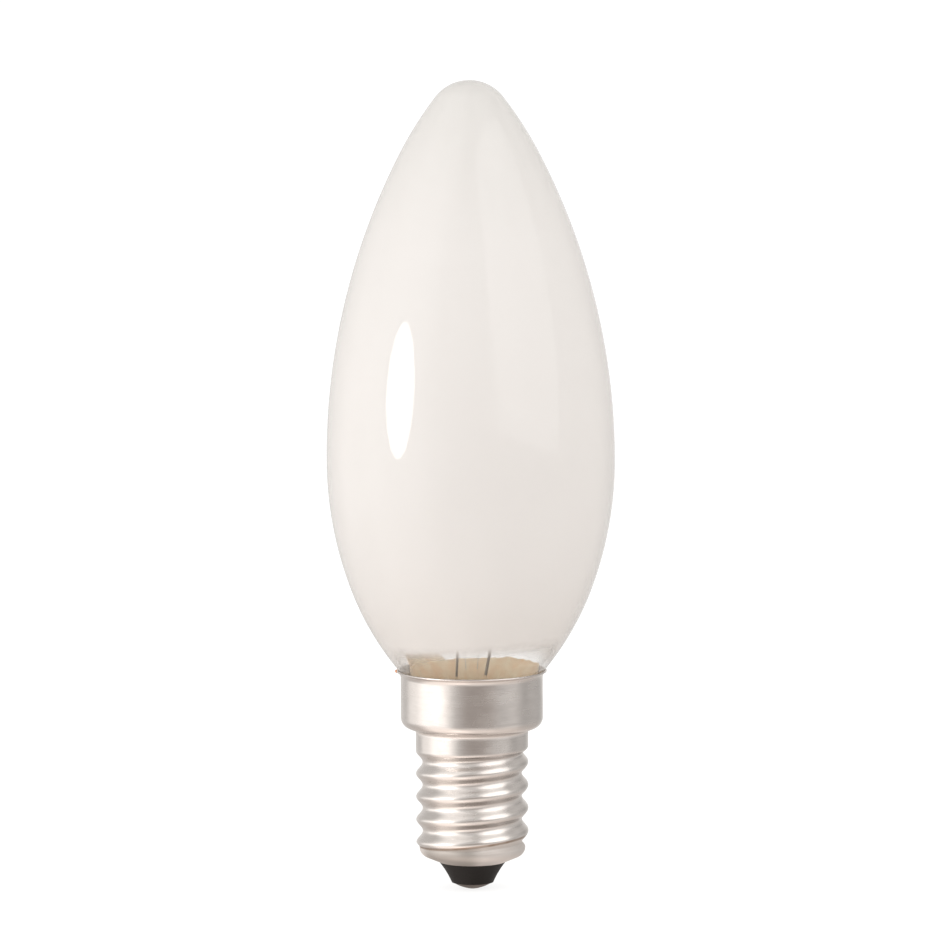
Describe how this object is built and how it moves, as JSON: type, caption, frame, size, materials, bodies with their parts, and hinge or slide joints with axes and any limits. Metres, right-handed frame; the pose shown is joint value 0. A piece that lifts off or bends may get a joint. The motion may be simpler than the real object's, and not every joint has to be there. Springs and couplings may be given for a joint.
{
  "type": "candle bulb",
  "caption": "Pointed candle-shaped filament bulb: inside-frosted glass with a clear neck band, lead wires and stem, on a small screw cap with a collar and a centre contact.",
  "frame": {"origin": "lowest point of the centre contact, on the bulb's axis", "axes": "+Z along the bulb's axis from the contact to the tip; the two leads lie in the XZ plane, the side lead at -X"},
  "size_m": [0.035, 0.035, 0.0988],
  "materials": {
    "frosted_glass": "glossy outside, frosted inside, clear at the neck",
    "cap_sheet": "rolled, softly bright",
    "black_glass": "glossy black",
    "contact_metal": "dull",
    "solder": "dull, lumpy",
    "cement": "baked tan resin cement",
    "stem_glass": "clear",
    "lead_metal": "dull wire",
    "weld_copper": "dull copper",
    "filament_metal": "drawn wire",
    "support_metal": "drawn wire"
  },
  "bodies": {
    "root": {"glass_envelope": "frosted_glass", "screw_shell": "cap_sheet", "insulator": "black_glass", "contact_plate": "contact_metal", "contact_solder": "solder", "capping_cement": "cement", "glass_stem": "stem_glass", "exhaust_tube": "stem_glass", "lead_wire_centre": "lead_metal", "lead_wire_side": "lead_metal", "side_weld": "weld_copper", "filament": "filament_metal", "support_wire_left": "support_metal", "support_wire_right": "support_metal"}
  },
  "joints": []
}
